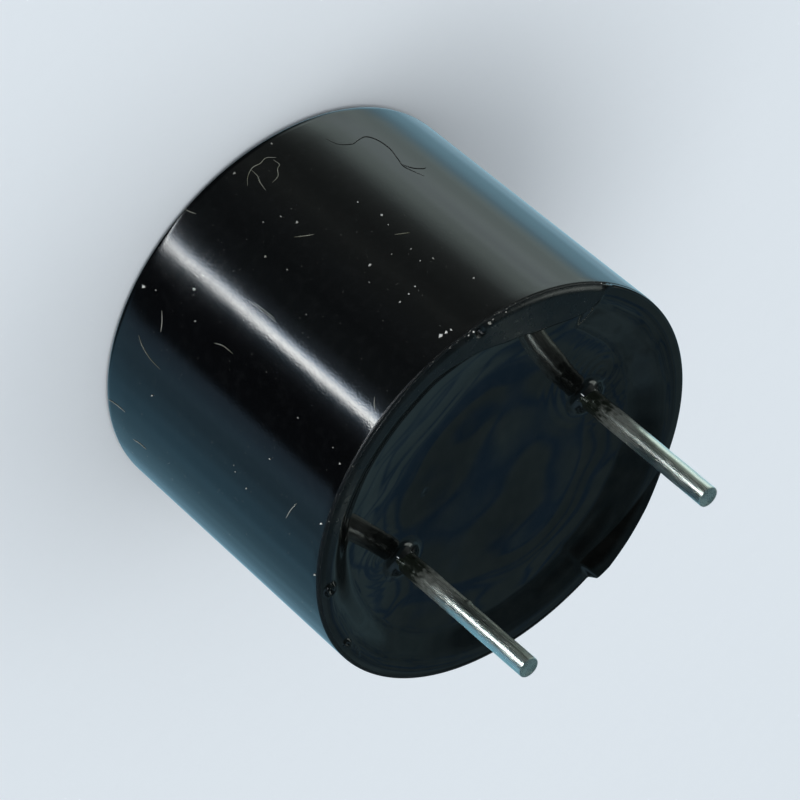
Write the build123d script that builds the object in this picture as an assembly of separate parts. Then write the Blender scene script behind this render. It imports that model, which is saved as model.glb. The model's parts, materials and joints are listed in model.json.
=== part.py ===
from build123d import *
from math import cos, radians, sin, tan
import os

# Magnetic buzzer, 12 mm round through-hole type with its own drive circuit.
# Millimetres. It stands on its sound-hole face: origin at the middle of that face,
# +Z towards the pins, +X along the row of pins.

# Moulded cup
head_radius = 5.95          # outside, at the sound-hole face
cup_height = 9.2            # sound-hole face to rim
cup_draft = 0.95            # degrees that the outside opens towards the rim
wall = 0.6                  # at the head end; the draft thickens it towards the rim
head_thickness = 0.8
head_bevel = 0.25           # outer edge of the head
rim_chamfer = 0.17          # outer edge of the rim
mouth_chamfer = 0.12        # inner edge of the rim
sound_hole_radius = 1.0
sound_hole_chamfer = 0.15
cavity_depth = 1.6          # resonance chamber behind the head
ledge_width = 0.7           # step that the diaphragm drops on
gate_mark_radius = 0.45     # moulding gate on the head
gate_mark_depth = 0.1
gate_mark_distance = 3.6    # from the axis

# Vibrating parts
diaphragm_thickness = 0.1
diaphragm_side_clearance = 0.1
diaphragm_play = 0.05       # free height above the ledge
armature_radius = 1.6       # soft-iron disc welded to the diaphragm
armature_thickness = 0.25

# Magnetic circuit
fit_clearance = 0.05        # inner parts in the bore
support_ring_wall = 0.7
support_ring_chamfer = 0.15
magnet_clearance = 0.1
magnet_width = 1.2          # radial
magnet_setback = 1.0        # behind the seat of the diaphragm
magnet_chamfer = 0.15
yoke_thickness = 0.8
yoke_chamfer = 0.12
core_radius = 1.1
core_spigot_radius = 0.8    # riveted through the yoke plate
core_chamfer = 0.12
air_gap = 0.25              # core tip to diaphragm

# Coil
bobbin_clearance = 0.05     # on the core
bobbin_tube_wall = 0.2
bobbin_flange_thickness = 0.25
bobbin_setback = 0.2        # below the core tip
bobbin_magnet_gap = 0.2     # flange to magnet
winding_setback = 0.25      # below the flange rim
lead_radius = 0.06          # enamelled wire
lead_angle = 26             # degrees either side of +Y
lead_hole_width = 0.5       # square, through flange, yoke and washer
lead_tail = 0.2             # above the board

# Circuit board and the parts on it
washer_thickness = 0.15     # paper insulator between yoke and board
board_clearance = 0.12
board_thickness = 0.6
board_hole_clearance = 0.05
transistor_length = 2.9
transistor_width = 1.3
transistor_height = 0.95
transistor_standoff = 0.1
transistor_edge = 0.12
leg_width = 0.4
leg_thickness = 0.12
leg_reach = 0.55            # from the body's side to the toe
leg_foot = 0.3
leg_pitch = 0.95
resistor_length = 1.6
resistor_width = 0.8
resistor_height = 0.45
resistor_cap = 0.3          # metal end, along its length
diode_length = 2.0
diode_width = 1.25
diode_height = 0.8
diode_cap = 0.25
cap_lip = 0.03              # metal ends stand proud of the body
small_part_row = 2.5        # distance of resistor and diode from the row of pins
small_part_spacing = 2.9    # resistor centre to diode centre

# Pins
pin_pitch = 6.5
pin_radius = 0.3
positive_pin_reach = 4.85   # beyond the rim
negative_pin_reach = 4.6
pin_end_chamfer = 0.05
pin_root_radius = 0.5       # headed end, held by the board and the resin
pin_taper = 0.6             # length over which the root narrows to the wire
solder_radius = 0.9
solder_height = 0.5
lead_solder_radius = 0.35

# Potting resin
resin_recess = 0.3          # middle of the resin below the rim
resin_depth = 1.45          # over the board
meniscus_width = 1.3        # where the resin climbs the wall
meniscus_gap = 0.05         # its top edge below the mouth chamfer
meniscus_knee = 0.4         # steeper part next to the wall
meniscus_share = 0.5        # height reached at the knee, as a share of the full climb
pin_cone_width = 0.4        # where the resin climbs a pin
pin_cone_height = 0.25
spill_start = -78           # degrees round +Z: blunt end of the resin that ran over the rim
spill_end = 36              # its thin end
spill_film = 0.1            # over the rim
spill_inset = 1.15          # inner foot of the film, in from the bore
spill_bevel = 0.08
spill_foot = 0.03           # outer edge of the spill, up from the foot of the rim chamfer
lip_end = -46               # the thick lip runs from the blunt end to here
lip_height = 0.34           # over the rim at the blunt end
lip_width = 0.8             # at the blunt end
lip_end_width = 0.25
lip_sections = 4

# Places worked out from the sizes above
draft = tan(radians(cup_draft))
rim_z = cup_height
bore_radius = head_radius - wall
cavity_radius = bore_radius - ledge_width
ledge_z = head_thickness + cavity_depth
diaphragm_z = ledge_z + diaphragm_play
support_z = diaphragm_z + diaphragm_thickness
resin_z = rim_z - resin_recess
board_top = resin_z - resin_depth
board_z = board_top - board_thickness
washer_z = board_z - washer_thickness
yoke_z = washer_z - yoke_thickness
support_ring_height = yoke_z - support_z
magnet_height = support_ring_height - magnet_setback
inner_part_radius = bore_radius - fit_clearance
support_inner = inner_part_radius - support_ring_wall
magnet_outer = support_inner - magnet_clearance
magnet_inner = magnet_outer - magnet_width
core_tip_z = support_z + air_gap
bobbin_z = core_tip_z + bobbin_setback
bobbin_bore = core_radius + bobbin_clearance
bobbin_tube = bobbin_bore + bobbin_tube_wall
flange_radius = magnet_inner - bobbin_magnet_gap
winding_outer = flange_radius - winding_setback
winding_z = bobbin_z + bobbin_flange_thickness
winding_height = yoke_z - bobbin_flange_thickness - winding_z
lead_distance = winding_outer + lead_radius
lead_x = lead_distance * sin(radians(lead_angle))
lead_y = lead_distance * cos(radians(lead_angle))
pin_x = pin_pitch / 2
wetting_z = resin_z + pin_cone_height
board_radius = bore_radius - board_clearance


def outside_radius(z):
    """Outside of the drafted cup at height z."""
    return head_radius + z * draft


def tube(outer, inner, z, height):
    """Ring about the Z axis that starts at height z."""
    seat = (Align.CENTER, Align.CENTER, Align.MIN)
    return Pos(0, 0, z) * (Cylinder(outer, height, align=seat) - Cylinder(inner, height, align=seat))


def post(radius, z, height, x=0, y=0):
    """Round post parallel to Z that starts at height z."""
    seat = (Align.CENTER, Align.CENTER, Align.MIN)
    return Pos(x, y, z) * Cylinder(radius, height, align=seat)


def block(length, width, height, x, y, z):
    """Box centred on x, y that starts at height z."""
    return Pos(x, y, z) * Box(length, width, height, align=(Align.CENTER, Align.CENTER, Align.MIN))


def turned(outline):
    """Solid of revolution about Z from a closed outline in radius and height."""
    return revolve(Plane.XZ * make_face(outline), Axis.Z)


def rims_at(shape, z):
    """Circular edges of a shape that lie at height z."""
    circles = shape.edges().filter_by(GeomType.CIRCLE)
    return circles.filter_by_position(Axis.Z, z - 0.001, z + 0.001)


def outer_rim(shape, z):
    return rims_at(shape, z).sort_by(SortBy.RADIUS)[-1]


def inner_rim(shape, z):
    return rims_at(shape, z).sort_by(SortBy.RADIUS)[0]


def lead_places():
    return [(-lead_x, lead_y), (lead_x, lead_y)]


def without_lead_holes(shape, z, height):
    """Cuts the two square clearance holes for the coil's leads."""
    hole = block(lead_hole_width, lead_hole_width, height, 0, lead_distance, z)
    for angle in (-lead_angle, lead_angle):
        shape -= Rot(0, 0, angle) * hole
    return shape


def housing():
    """One moulding: drafted cup with a resonance chamber, a ledge and a sound hole."""
    outline = Polyline(
        (sound_hole_radius, 0),
        (head_radius, 0),
        (outside_radius(rim_z), rim_z),
        (bore_radius, rim_z),
        (bore_radius, ledge_z),
        (cavity_radius, ledge_z),
        (cavity_radius, head_thickness),
        (sound_hole_radius, head_thickness),
        close=True,
    )
    cup = turned(outline)
    cup = chamfer(outer_rim(cup, 0), head_bevel)
    cup = chamfer(inner_rim(cup, 0), sound_hole_chamfer)
    cup = chamfer(outer_rim(cup, rim_z), rim_chamfer)
    cup = chamfer(inner_rim(cup, rim_z), mouth_chamfer)
    return cup - post(gate_mark_radius, 0, gate_mark_depth, 0, -gate_mark_distance)


def support_ring():
    """Spacer that stands on the yoke plate and carries the diaphragm's edge."""
    ring = tube(inner_part_radius, support_inner, support_z, support_ring_height)
    return chamfer(outer_rim(ring, yoke_z), support_ring_chamfer)


def diaphragm():
    return post(bore_radius - diaphragm_side_clearance, diaphragm_z, diaphragm_thickness)


def armature():
    return post(armature_radius, diaphragm_z - armature_thickness, armature_thickness)


def ring_magnet():
    ring = tube(magnet_outer, magnet_inner, yoke_z - magnet_height, magnet_height)
    return chamfer(rims_at(ring, yoke_z - magnet_height), magnet_chamfer)


def yoke_plate():
    plate = tube(inner_part_radius, core_spigot_radius, yoke_z, yoke_thickness)
    plate = chamfer(outer_rim(plate, yoke_z + yoke_thickness), yoke_chamfer)
    return without_lead_holes(plate, yoke_z, yoke_thickness)


def pole_core():
    """Turned core with a thinner spigot riveted in the yoke plate."""
    shank = post(core_radius, core_tip_z, yoke_z - core_tip_z)
    shank = chamfer(outer_rim(shank, core_tip_z), core_chamfer)
    return shank + post(core_spigot_radius, yoke_z, yoke_thickness)


def coil_bobbin():
    """Thin tube with two flanges; the upper one is notched for the leads."""
    outline = Polyline(
        (bobbin_bore, bobbin_z),
        (flange_radius, bobbin_z),
        (flange_radius, winding_z),
        (bobbin_tube, winding_z),
        (bobbin_tube, winding_z + winding_height),
        (flange_radius, winding_z + winding_height),
        (flange_radius, yoke_z),
        (bobbin_bore, yoke_z),
        close=True,
    )
    return without_lead_holes(turned(outline), winding_z + winding_height, bobbin_flange_thickness)


def coil_winding():
    return tube(winding_outer, bobbin_tube, winding_z, winding_height)


def coil_lead(x, y):
    """Straight end of the coil wire, from the winding up through the board."""
    start = winding_z + winding_height / 2
    return post(lead_radius, start, board_top + lead_tail - start, x, y)


def insulating_washer():
    washer = post(board_radius, washer_z, washer_thickness)
    return without_lead_holes(washer, washer_z, washer_thickness)


def circuit_board():
    board = post(board_radius, board_z, board_thickness)
    for x in (-pin_x, pin_x):
        board -= post(pin_root_radius + board_hole_clearance, board_z, board_thickness, x)
    for x, y in lead_places():
        board -= post(lead_radius + board_hole_clearance, board_z, board_thickness, x, y)
    return board


def drive_transistor():
    """Small moulded package, its top edges bevelled."""
    body_z = board_top + transistor_standoff
    body = block(transistor_length, transistor_width, transistor_height, 0, 0, body_z)
    return chamfer(body.faces().sort_by(Axis.Z)[-1].edges(), transistor_edge)


def transistor_leg(x, side):
    """One bent leg: out of the body, down, and flat on the board."""
    root_y = transistor_width / 2
    toe_y = root_y + leg_reach
    knee_y = toe_y - leg_foot
    exit_z = board_top + transistor_standoff + transistor_height / 2
    outline = Polyline(
        (root_y, exit_z),
        (knee_y, exit_z),
        (knee_y, board_top + leg_thickness),
        (toe_y, board_top + leg_thickness),
        (toe_y, board_top),
        (knee_y - leg_thickness, board_top),
        (knee_y - leg_thickness, exit_z - leg_thickness),
        (root_y, exit_z - leg_thickness),
        close=True,
    )
    leg = extrude(Plane.YZ * make_face(outline), leg_width / 2, both=True)
    if side < 0:
        leg = Rot(0, 0, 180) * leg
    return Pos(x, 0, 0) * leg


def transistor_legs():
    """Two legs on one side and one on the other."""
    legs = [transistor_leg(-leg_pitch, 1), transistor_leg(leg_pitch, 1), transistor_leg(0, -1)]
    return Compound(children=legs)


def chip(length, width, height, cap, x):
    """Block lying on the board, with a slightly proud metal cap at each end."""
    body = block(length, width, height, x, -small_part_row, board_top)
    for side in (-1, 1):
        cap_x = x + side * (length - cap) / 2
        cap_width = width + 2 * cap_lip
        body += block(cap, cap_width, height + cap_lip, cap_x, -small_part_row, board_top)
    return body


def bias_resistor():
    return chip(resistor_length, resistor_width, resistor_height, resistor_cap, -small_part_spacing / 2)


def flyback_diode():
    return chip(diode_length, diode_width, diode_height, diode_cap, small_part_spacing / 2)


def pin(x, reach):
    """Round tinned wire with a thicker root, cut square at its free end."""
    tip = rim_z + reach
    outline = Polyline(
        (0, board_z),
        (pin_root_radius, board_z),
        (pin_root_radius, wetting_z - pin_taper),
        (pin_radius, wetting_z),
        (pin_radius, tip - pin_end_chamfer),
        (pin_radius - pin_end_chamfer, tip),
        (0, tip),
        close=True,
    )
    return Pos(x, 0, 0) * turned(outline)


def solder_joint(foot_radius, height, wire_radius, x, y):
    """Cone of solder on the board that thins out up a wire."""
    outline = Polyline(
        (wire_radius, board_top),
        (foot_radius, board_top),
        (wire_radius, board_top + height),
        close=True,
    )
    return Pos(x, y, 0) * turned(outline)


def pin_solder(x):
    return solder_joint(solder_radius, solder_height, pin_root_radius, x, 0)


def lead_solder(x, y):
    return solder_joint(lead_solder_radius, lead_tail, lead_radius, x, y)


def resin_fill():
    """Resin between the board and its free surface, climbing the wall all round."""
    climb = rim_z - mouth_chamfer - meniscus_gap - resin_z
    outline = Polyline(
        (0, board_top),
        (bore_radius, board_top),
        (bore_radius, resin_z + climb),
        (bore_radius - meniscus_knee, resin_z + climb * meniscus_share),
        (bore_radius - meniscus_width, resin_z),
        (0, resin_z),
        close=True,
    )
    return turned(outline)


def pin_wetting(x):
    """Cone of resin drawn up a pin."""
    outline = Polyline(
        (0, resin_z),
        (pin_radius + pin_cone_width, resin_z),
        (pin_radius, wetting_z),
        (0, wetting_z),
        close=True,
    )
    return Pos(x, 0, 0) * turned(outline)


def spill_film_ring(cup):
    """Even film of resin over the rim, flush with the outside of the cup."""
    edge = outside_radius(rim_z)
    low_z = rim_z - rim_chamfer + spill_foot
    top_z = rim_z + spill_film
    foot = bore_radius - spill_inset
    outline = Polyline(
        (foot, board_top),
        (foot, resin_z),
        (bore_radius, top_z),
        (edge - spill_bevel, top_z),
        (edge, top_z - spill_bevel),
        (edge, low_z),
        (bore_radius, low_z),
        close=True,
    )
    film = revolve(Plane.XZ * make_face(outline), Axis.Z, revolution_arc=spill_end - spill_start)
    return Rot(0, 0, spill_start) * film - cup


def lip_section(angle, width, height):
    """Wedge that rises outwards over the film, in the radial plane at an angle."""
    edge = outside_radius(rim_z)
    base = rim_z + spill_film / 2
    outline = Polyline(
        (edge - width, base),
        (edge - spill_bevel, rim_z + height),
        (edge, rim_z + height - spill_bevel),
        (edge, base),
        close=True,
    )
    return Rot(0, 0, angle) * (Plane.XZ * make_face(outline))


def spill_lip():
    """Thick lip at the blunt end of the spill, that thins out into the film."""
    sections = []
    for index in range(lip_sections):
        share = index / (lip_sections - 1)
        angle = spill_start + (lip_end - spill_start) * share
        width = lip_width + (lip_end_width - lip_width) * share
        height = lip_height + (spill_film + spill_bevel - lip_height) * share
        sections.append(lip_section(angle, width, height))
    return loft(sections)


def potting_resin(cup, potted):
    """Black resin that closes the cup, moulded round everything in its way."""
    resin = resin_fill() + spill_film_ring(cup) + spill_lip()
    for x in (-pin_x, pin_x):
        resin += pin_wetting(x)
    for piece in potted:
        resin -= piece
    return resin


cup = housing()
positive_pin = pin(-pin_x, positive_pin_reach)
negative_pin = pin(pin_x, negative_pin_reach)
(start_x, start_y), (finish_x, finish_y) = lead_places()
on_board = {
    "drive_transistor": drive_transistor(),
    "transistor_legs": transistor_legs(),
    "bias_resistor": bias_resistor(),
    "flyback_diode": flyback_diode(),
    "pin_solder_positive": pin_solder(-pin_x),
    "pin_solder_negative": pin_solder(pin_x),
    "lead_solder_start": lead_solder(start_x, start_y),
    "lead_solder_finish": lead_solder(finish_x, finish_y),
    "coil_lead_start": coil_lead(start_x, start_y),
    "coil_lead_finish": coil_lead(finish_x, finish_y),
    "pin_positive": positive_pin,
    "pin_negative": negative_pin,
}
parts = {
    "housing": cup,
    "diaphragm": diaphragm(),
    "diaphragm_armature": armature(),
    "support_ring": support_ring(),
    "ring_magnet": ring_magnet(),
    "yoke_plate": yoke_plate(),
    "pole_core": pole_core(),
    "coil_bobbin": coil_bobbin(),
    "coil_winding": coil_winding(),
    "insulating_washer": insulating_washer(),
    "circuit_board": circuit_board(),
    **on_board,
    "potting_resin": potting_resin(cup, on_board.values()),
}

os.makedirs("parts", exist_ok=True)
for name, shape in parts.items():
    export_step(shape, f"parts/{name}.step")
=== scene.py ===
"""Looks of the magnetic buzzer: glossy cup, poured resin, tinned pins, dust, floor, light and camera.

Lengths are in millimetres until a mesh is made, and angles are degrees round +Z from +X.
"""
import json
from collections import namedtuple
from math import cos, pi, radians, sin, tan

import bmesh
import bpy
import numpy as np
from mathutils import Matrix, Vector


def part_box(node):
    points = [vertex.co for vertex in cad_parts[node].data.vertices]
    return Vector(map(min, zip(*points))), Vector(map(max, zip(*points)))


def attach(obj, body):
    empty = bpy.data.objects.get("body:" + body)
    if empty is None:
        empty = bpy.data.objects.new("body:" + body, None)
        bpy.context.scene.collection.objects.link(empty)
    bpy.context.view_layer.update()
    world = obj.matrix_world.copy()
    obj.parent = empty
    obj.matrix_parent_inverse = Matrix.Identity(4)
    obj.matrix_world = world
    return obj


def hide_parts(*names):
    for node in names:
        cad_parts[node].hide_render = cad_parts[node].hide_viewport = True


MM = 0.001
SEED = 7

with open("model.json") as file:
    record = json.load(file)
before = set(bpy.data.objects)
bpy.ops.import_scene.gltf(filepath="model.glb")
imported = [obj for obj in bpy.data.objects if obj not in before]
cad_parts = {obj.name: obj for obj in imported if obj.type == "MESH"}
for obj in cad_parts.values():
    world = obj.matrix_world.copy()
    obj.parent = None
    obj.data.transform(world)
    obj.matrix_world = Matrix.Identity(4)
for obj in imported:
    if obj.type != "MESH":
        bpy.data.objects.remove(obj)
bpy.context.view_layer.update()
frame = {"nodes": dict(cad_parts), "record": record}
random = np.random.default_rng(SEED)


# Sizes

def box_mm(node):
    """Lowest and highest corner of a CAD node in millimetres."""
    low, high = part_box(node)
    return low / MM, high / MM


_, cup_high = box_mm("housing")
resin_low, _ = box_mm("potting_resin")

wall = 0.6
draft = tan(radians(0.95))
rim_round = 0.08
rim_flat = 0.17             # the outside is widest this far below the rim
edge_break = 0.02           # rounding of the small edges
mouth_chamfer = 0.12
head_round = 0.3
head_thickness = 0.8
cavity_depth = 1.6
ledge_width = 0.7
sound_hole_radius = 1.0
sound_hole_chamfer = 0.15
gate_mark = (0, -3.6)
gate_mark_radius = 0.45
gate_mark_depth = 0.1
gate_mark_slope = 0.05
flat_face = 0.01            # the mark is only pressed into what lies below this height
cavity_round = 0.05
hole_round = 0.03

rim_z = cup_high.z
rim_radius = cup_high.x
head_radius = rim_radius - (rim_z - rim_flat) * draft
bore_radius = head_radius - wall
cavity_radius = bore_radius - ledge_width
ledge_z = head_thickness + cavity_depth

resin_recess = 0.3
resin_z = rim_z - resin_recess
resin_floor = resin_low.z
pin_cone_width = 0.4
pin_cone_height = 0.25
wetting_z = resin_z + pin_cone_height
pin_radius = 0.3
pin_taper = 0.6

cup_segments = 720
resin_segments = 640
pin_segments = 64


# Meshes

def piece(name, points, faces, material, sharp_angle=None):
    """Mesh object from points in millimetres, smooth shaded, riding on the part."""
    mesh = bpy.data.meshes.new(name)
    mesh.from_pydata((np.asarray(points) * MM).tolist(), [], faces)
    tidy = bmesh.new()
    tidy.from_mesh(mesh)
    bmesh.ops.remove_doubles(tidy, verts=tidy.verts, dist=1e-8)
    bmesh.ops.recalc_face_normals(tidy, faces=tidy.faces)
    tidy.to_mesh(mesh)
    tidy.free()
    mesh.shade_smooth()
    if sharp_angle:
        mesh.set_sharp_from_angle(angle=radians(sharp_angle))
    mesh.materials.append(material)
    made = bpy.data.objects.new(name, mesh)
    bpy.context.scene.collection.objects.link(made)
    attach(made, "root")
    return made


def grid_faces(rings, segments, closed):
    """Quads between rings of points; the last ring also joins the first where closed."""
    faces = []
    for ring in range(rings if closed else rings - 1):
        low = ring * segments
        high = ((ring + 1) % rings) * segments
        for k in range(segments):
            following = (k + 1) % segments
            faces.append((low + k, low + following, high + following, high + k))
    return faces


def turned_points(radii, heights, angles):
    """Points of a turned surface: one ring for each row of radii and heights."""
    x = radii * np.cos(angles)
    y = radii * np.sin(angles)
    return np.stack([x, y, np.broadcast_to(heights, x.shape)], axis=-1)


def rounded(corners, steps=6):
    """Closed outline through (radius, height, rounding) corners, each rounded by a short curve."""
    outline = []
    count = len(corners)
    for index, (radius, height, rounding) in enumerate(corners):
        corner = Vector((radius, height))
        if not rounding:
            outline.append(corner)
            continue
        before = Vector(corners[index - 1][:2]) - corner
        after = Vector(corners[(index + 1) % count][:2]) - corner
        start = corner + before.normalized() * rounding
        end = corner + after.normalized() * rounding
        for step in range(steps + 1):
            share = step / steps
            rest = 1 - share
            outline.append(start * rest ** 2 + corner * 2 * share * rest + end * share ** 2)
    return np.array([tuple(point) for point in outline])


def divided(start, end, pieces):
    """Corners with no rounding, evenly spaced between two (radius, height) points."""
    shares = np.linspace(0, 1, pieces + 1)
    across, up = end[0] - start[0], end[1] - start[1]
    return [(start[0] + across * share, start[1] + up * share, 0) for share in shares]


def at_angle(angle, radius, height):
    """Point at an angle in degrees, a radius and a height."""
    return Vector((radius * cos(radians(angle)), radius * sin(radians(angle)), height))


def bell(distance, reach):
    """1 at distance 0, falling smoothly to 0 at reach."""
    share = np.clip(1 - np.asarray(distance) / reach, 0, 1)
    return share * share * (3 - 2 * share)


# Cup

# Chip out of the rim
rim_nick_angle = 78.7
rim_nick_radius = 5.84
rim_nick_reach = 0.18
rim_nick_depth = 0.15
rim_nick_x = rim_nick_radius * cos(radians(rim_nick_angle))
rim_nick_y = rim_nick_radius * sin(radians(rim_nick_angle))

# Where the outline has extra rings: from, to, how many
gate_rings = 3.0, 4.2, 30
side_rings = [(1.0, 8.4, 12), (8.6, 8.95, 6)]
rim_rings = 10
rim_rings_inset = 0.06, 0.04        # from the rim's outer and inner edge


def side_radius(height):
    """Radius of the cup's outside at a height."""
    return head_radius + height * draft


def cup_outline():
    """Cross-section of the moulded cup, from the sound hole round the outside and back."""
    corners = [(sound_hole_radius + sound_hole_chamfer, 0, edge_break)]
    first, last, count = gate_rings
    corners += divided((first, 0), (last, 0), count)
    corners += [(head_radius, 0, head_round)]
    for first, last, count in side_rings:
        corners += divided((side_radius(first), first), (side_radius(last), last), count)
    corners += [(rim_radius, rim_z, rim_round)]
    outer = rim_radius - rim_round - rim_rings_inset[0]
    inner = bore_radius + mouth_chamfer + rim_rings_inset[1]
    corners += divided((outer, rim_z), (inner, rim_z), rim_rings)
    corners += [(bore_radius + mouth_chamfer, rim_z, edge_break)]
    corners += [(bore_radius, rim_z - mouth_chamfer, edge_break)]
    corners += [(bore_radius, ledge_z, 0)]
    corners += [(cavity_radius, ledge_z, edge_break)]
    corners += [(cavity_radius, head_thickness, cavity_round)]
    corners += [(sound_hole_radius, head_thickness, hole_round)]
    corners += [(sound_hole_radius, sound_hole_chamfer, edge_break)]
    return rounded(corners)


def make_cup(material):
    """The moulded cup with its gate mark and the chip in its rim."""
    outline = cup_outline()
    angles = np.linspace(0, 2 * pi, cup_segments, endpoint=False)
    points = turned_points(outline[:, :1] * np.ones(cup_segments), outline[:, 1:], angles)
    x, y, z = points[..., 0], points[..., 1], points[..., 2]

    # Moulding gate on the head's flat face
    distance = np.hypot(x - gate_mark[0], y - gate_mark[1])
    depth = np.clip((gate_mark_radius - distance) / gate_mark_slope, 0, 1) * gate_mark_depth
    z += np.where(z < flat_face, depth, 0)

    away = np.sqrt((x - rim_nick_x) ** 2 + (y - rim_nick_y) ** 2 + (z - rim_z) ** 2)
    z -= bell(away, rim_nick_reach) * rim_nick_depth

    faces = grid_faces(len(outline), cup_segments, closed=True)
    cup = piece("cup_shell", points.reshape(-1, 3), faces, material, sharp_angle=40)
    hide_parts("housing")


# Resin

# How the resin meets the cup, judged from the photo. brow: radius where its level edge
# turns down; dip: how far in that slope reaches; softness: 0 for a sharp brow, 1 for none;
# level: height of the brow over the rim; end: radius where the film ends
Edge = namedtuple("Edge", "angle brow dip softness level end")
resin_edges = [
    Edge(-100, 5.84, 1.25, 1.0, 0.040, 6.00),
    Edge(-80, 5.84, 1.25, 1.0, 0.050, 6.02),
    Edge(-78, 5.84, 1.40, 1.0, 0.100, 6.09),
    Edge(-20, 5.84, 1.50, 1.0, 0.100, 6.09),
    Edge(25, 5.84, 1.40, 1.0, 0.100, 6.09),
    Edge(36.6, 5.84, 1.30, 1.0, 0.100, 6.09),
    Edge(38.0, 5.42, 0.26, 0.4, 0.092, 6.04),
    Edge(41, 5.20, 0.22, 0.2, 0.090, 6.03),
    Edge(46, 5.02, 0.22, 0.2, 0.090, 6.03),
    Edge(50, 4.95, 0.22, 0.2, 0.088, 6.03),
    Edge(58, 4.88, 0.22, 0.2, 0.085, 6.03),
    Edge(70, 4.98, 0.24, 0.3, 0.072, 6.02),
    Edge(82, 5.24, 0.34, 0.5, 0.055, 6.00),
    Edge(95, 5.50, 0.48, 0.6, 0.035, 5.99),
    Edge(121, 5.58, 0.50, 0.6, 0.030, 5.98),
    Edge(145, 5.60, 0.52, 0.7, 0.035, 5.98),
    Edge(160, 5.70, 0.80, 1.0, 0.045, 5.99),
    Edge(175, 5.82, 1.10, 1.0, 0.045, 6.00),
]
edge_smoothing = np.linspace(-0.8, 0.8, 7)
spill_start = -78.4
spill_end = 35
spill_bevel = 0.08          # rounding of the resin's edge where it spilt, and where it didn't
film_bevel = 0.01
edge_overhang = 0.001
film_reach = 6.03           # a film that ends past this has spilt over the edge
film_step = 0.05            # and is fully over it this far on
film_edge = 0.155           # width of the slope at the film's outer edge
film_foot = 0.006           # height of that slope's foot over the rim
film_power = 1.25
ridge_power = 0.9
ring_width = 0.6            # of the ring round a burst bubble, as a share of its radius
nick_in_film = 0.06         # the chip is this much deeper in the film
hidden_depth = 0.06         # where there is no film, the resin's mesh runs this far inside the cup
hidden_inset = 0.17
hidden_drops = 0.02, 0.04
bore_overlap = 0.01
plug_clearance = 0.002

# Rings of the resin's mesh: radii over the level middle, then shares of the way up the slope,
# of the film's width, and round the outer edge
level_rings = np.concatenate([np.linspace(0, 2.3, 22), np.linspace(2.36, 4.2, 38)])
slope_rings = 1 - (1 - np.linspace(0.02, 1, 46)) ** 1.5
film_rings = np.linspace(0.04, 1, 20)
edge_turns = np.linspace(0, pi / 2, 6)[1:]

# Dull skin on the rim: how it comes in past the brow, and at its two ends in degrees
dull_past_brow = -0.015, 0.05
dull_start = 35.5, 1.5
dull_end = 165, 25

# Ridge along the spill's outer edge: radius of its inner foot, height over the film
Ridge = namedtuple("Ridge", "angle foot rise")
spill_ridge = [
    Ridge(-79.0, 5.30, 0.0),
    Ridge(-78.3, 5.30, 0.19),
    Ridge(-74.0, 5.33, 0.24),
    Ridge(-66.0, 5.46, 0.20),
    Ridge(-56.0, 5.66, 0.13),
    Ridge(-49.0, 5.84, 0.05),
    Ridge(-44.0, 5.95, 0.0),
]

# The free surface is a shallow bowl that starts to climb well inside the wall
bowl_start = 3.0
bowl_end = 5.2
bowl_rise = 0.14

# Burst bubbles in the film: x, y, radius of the ring round each, its height
bubbles = [
    (-5.50, 1.58, 0.13, 0.11),
    (-5.74, -0.74, 0.09, 0.09),
]

# Beads and dimples: x, y, reach, height
beads = [
    (-5.36, 1.70, 0.07, 0.04), (-5.62, 1.45, 0.06, 0.05), (-5.70, -0.90, 0.06, 0.04),
    (-5.66, -1.00, 0.05, 0.02), (-5.60, -1.12, 0.05, 0.02), (-5.57, -1.25, 0.05, 0.02),
    (-5.57, -1.38, 0.05, 0.015), (-5.60, -1.50, 0.05, 0.01),
    (-2.90, -0.08, 0.20, -0.010), (-2.84, 0.03, 0.07, 0.010), (3.78, -0.02, 0.20, -0.010),
    (3.86, 0.07, 0.07, 0.010), (2.84, -0.12, 0.16, -0.008), (-3.72, -0.30, 0.18, -0.008),
    (-1.92, 1.55, 0.06, -0.02), (-1.84, 1.60, 0.05, -0.02), (-1.99, 1.51, 0.04, 0.012),
]

# Rings frozen round the pins: x, y, height, spacing, reach
ripples = [
    (3.85, 0.4, 0.0009, 0.29, 2.4),
    (-3.75, 0.6, 0.0006, 0.26, 1.7),
]

# Unevenness of the brow: size, waves in a turn, shift
brow_waves = [(0.010, 9, 0), (0.006, 23, 1)]

# Slow waves of the surface: direction, wavelength, height
waves = [
    (20, 4.8, 0.0080),
    (100, 3.9, 0.0060),
    (-40, 2.8, 0.0030),
    (65, 1.9, 0.0012),
]


def edge_at(field, degrees):
    """One column of the resin's edge for angles in degrees, smoothed where its rows meet."""
    angles = [row.angle for row in resin_edges]
    values = [getattr(row, field) for row in resin_edges]
    nearby = [np.interp(degrees + turn, angles, values, period=360) for turn in edge_smoothing]
    return np.mean(nearby, axis=0)


def ridge_at(field, degrees):
    """One column of the spill's ridge, between its rows, for angles in degrees."""
    angles = [row.angle for row in spill_ridge]
    return np.interp(degrees, angles, [getattr(row, field) for row in spill_ridge])


def brow_at(angles):
    """Radius of the brow, a little uneven."""
    uneven = sum(size * np.sin(count * angles + shift) for size, count, shift in brow_waves)
    return edge_at("brow", np.degrees(angles)) + uneven


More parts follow.
